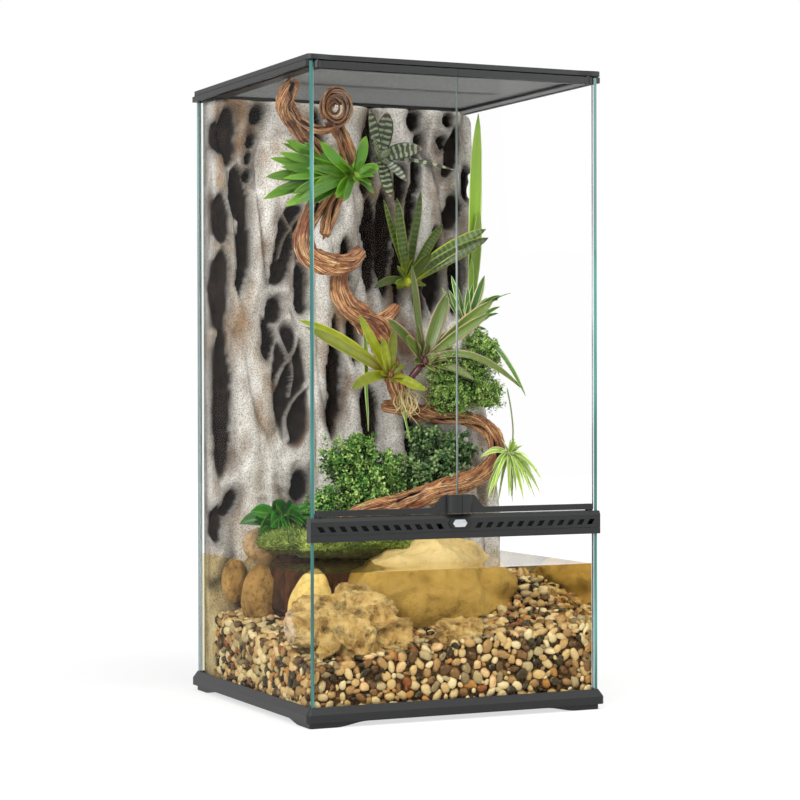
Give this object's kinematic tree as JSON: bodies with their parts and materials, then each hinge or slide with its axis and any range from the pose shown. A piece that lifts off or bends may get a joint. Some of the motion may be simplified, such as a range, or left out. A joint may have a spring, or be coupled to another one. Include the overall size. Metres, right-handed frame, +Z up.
{
  "type": "planted glass terrarium",
  "caption": "Upright glass terrarium with a water section, double glass doors, a ventilation rail, a lift-off screen top, relief background, vines, plants, stones and pebbles.",
  "frame": {"origin": "middle of the base's footprint, on the surface that the feet stand on", "axes": "+X to the right as the keeper faces the doors, +Y to the back, +Z up; the doors face -Y"},
  "size_m": [0.466, 0.4723, 0.923],
  "materials": {
    "frame_plastic": "satin, fine grain",
    "glass_panes": "clear float glass, teal edges",
    "silicone": "clear silicone",
    "vent_mesh": "woven wire, dull grey",
    "badge_black": "gloss",
    "badge_silver": "satin silver, blank",
    "pin_steel": "brushed",
    "grey_plastic": "satin",
    "background_foam": "rough, speckled coating on rigid foam",
    "pebbles": "tumbled pebbles in mixed colours",
    "soil_bark": "rough bark and soil",
    "moss": "cut sheet of moss",
    "sandstone": "rough, ochre",
    "vine_wood": "fibrous, unvarnished",
    "green_leaf": "leaf, slightly glossy",
    "variegated_leaf": "leaf with pale edges and dark bands, slightly glossy"
  },
  "bodies": {
    "tank": {"base_frame": "frame_plastic", "bottom_pane": "glass_panes", "back_pane": "glass_panes", "left_pane": "glass_panes", "right_pane": "glass_panes", "front_pane": "glass_panes", "pane_sealant": "silicone", "vent_rail": "frame_plastic", "vent_screen": "vent_mesh", "badge_bezel": "badge_black", "badge_plate": "badge_silver", "top_frame": "frame_plastic", "background_panel": "background_foam", "gravel_bed": "pebbles", "land_bank": "soil_bark", "moss_carpet": "moss", "boulder_center": "sandstone", "rock_front": "sandstone", "rock_small": "sandstone", "rock_slab_left": "sandstone", "rock_left_egg": "sandstone", "rock_left_top": "sandstone", "rock_left_back": "sandstone", "liana_top_coil": "vine_wood", "liana_hook": "vine_wood", "liana_trunk": "vine_wood", "liana_lower": "vine_wood", "bromeliad_green": "green_leaf", "bromeliad_banded": "variegated_leaf", "bromeliad_upper": "variegated_leaf", "bromeliad_center": "variegated_leaf", "bromeliad_left": "variegated_leaf", "spider_plant_upper": "variegated_leaf", "spider_plant_lower": "variegated_leaf", "tall_leaf_plant": "green_leaf", "broadleaf_plant": "green_leaf", "creeper_cushion": "green_leaf", "undergrowth_left": "green_leaf", "undergrowth_right": "green_leaf", "hanging_leaves": "green_leaf"},
    "left_door": {"left_door_pane": "glass_panes", "left_door_bottom_rail": "frame_plastic", "left_door_top_rail": "frame_plastic", "left_hinge_pins": "pin_steel"},
    "right_door": {"right_door_pane": "glass_panes", "right_door_bottom_rail": "frame_plastic", "right_door_top_rail": "frame_plastic", "right_hinge_pins": "pin_steel"},
    "screen_cover": {"screen_frame": "frame_plastic", "screen_mesh": "vent_mesh", "screen_stiffener": "frame_plastic"},
    "left_lock": {"screen_lock_left": "grey_plastic"},
    "right_lock": {"screen_lock_right": "grey_plastic"},
    "left_inlet_slider": {"cable_inlet_slider_left": "grey_plastic"},
    "right_inlet_slider": {"cable_inlet_slider_right": "grey_plastic"}
  },
  "joints": [
    {"name": "left_door_hinge", "type": "hinge", "parent": "tank", "child": "left_door", "pos_m": [-0.2125, -0.223, 0.6], "axis": [0, 0, -1], "range_deg": [0, 100]},
    {"name": "right_door_hinge", "type": "hinge", "parent": "tank", "child": "right_door", "pos_m": [0.2125, -0.223, 0.6], "axis": [0, 0, 1], "range_deg": [0, 100]},
    {"name": "screen_cover_lift", "type": "slide", "parent": "tank", "child": "screen_cover", "axis": [0, 0, 1], "range_m": [0, 0.06]},
    {"name": "left_lock_slide", "type": "slide", "parent": "tank", "child": "left_lock", "axis": [1, 0, 0], "range_m": [0, 0.008]},
    {"name": "right_lock_slide", "type": "slide", "parent": "tank", "child": "right_lock", "axis": [-1, 0, 0], "range_m": [0, 0.008]},
    {"name": "left_inlet_slide", "type": "slide", "parent": "tank", "child": "left_inlet_slider", "axis": [1, 0, 0], "range_m": [0, 0.072]},
    {"name": "right_inlet_slide", "type": "slide", "parent": "tank", "child": "right_inlet_slider", "axis": [-1, 0, 0], "range_m": [0, 0.072]}
  ]
}
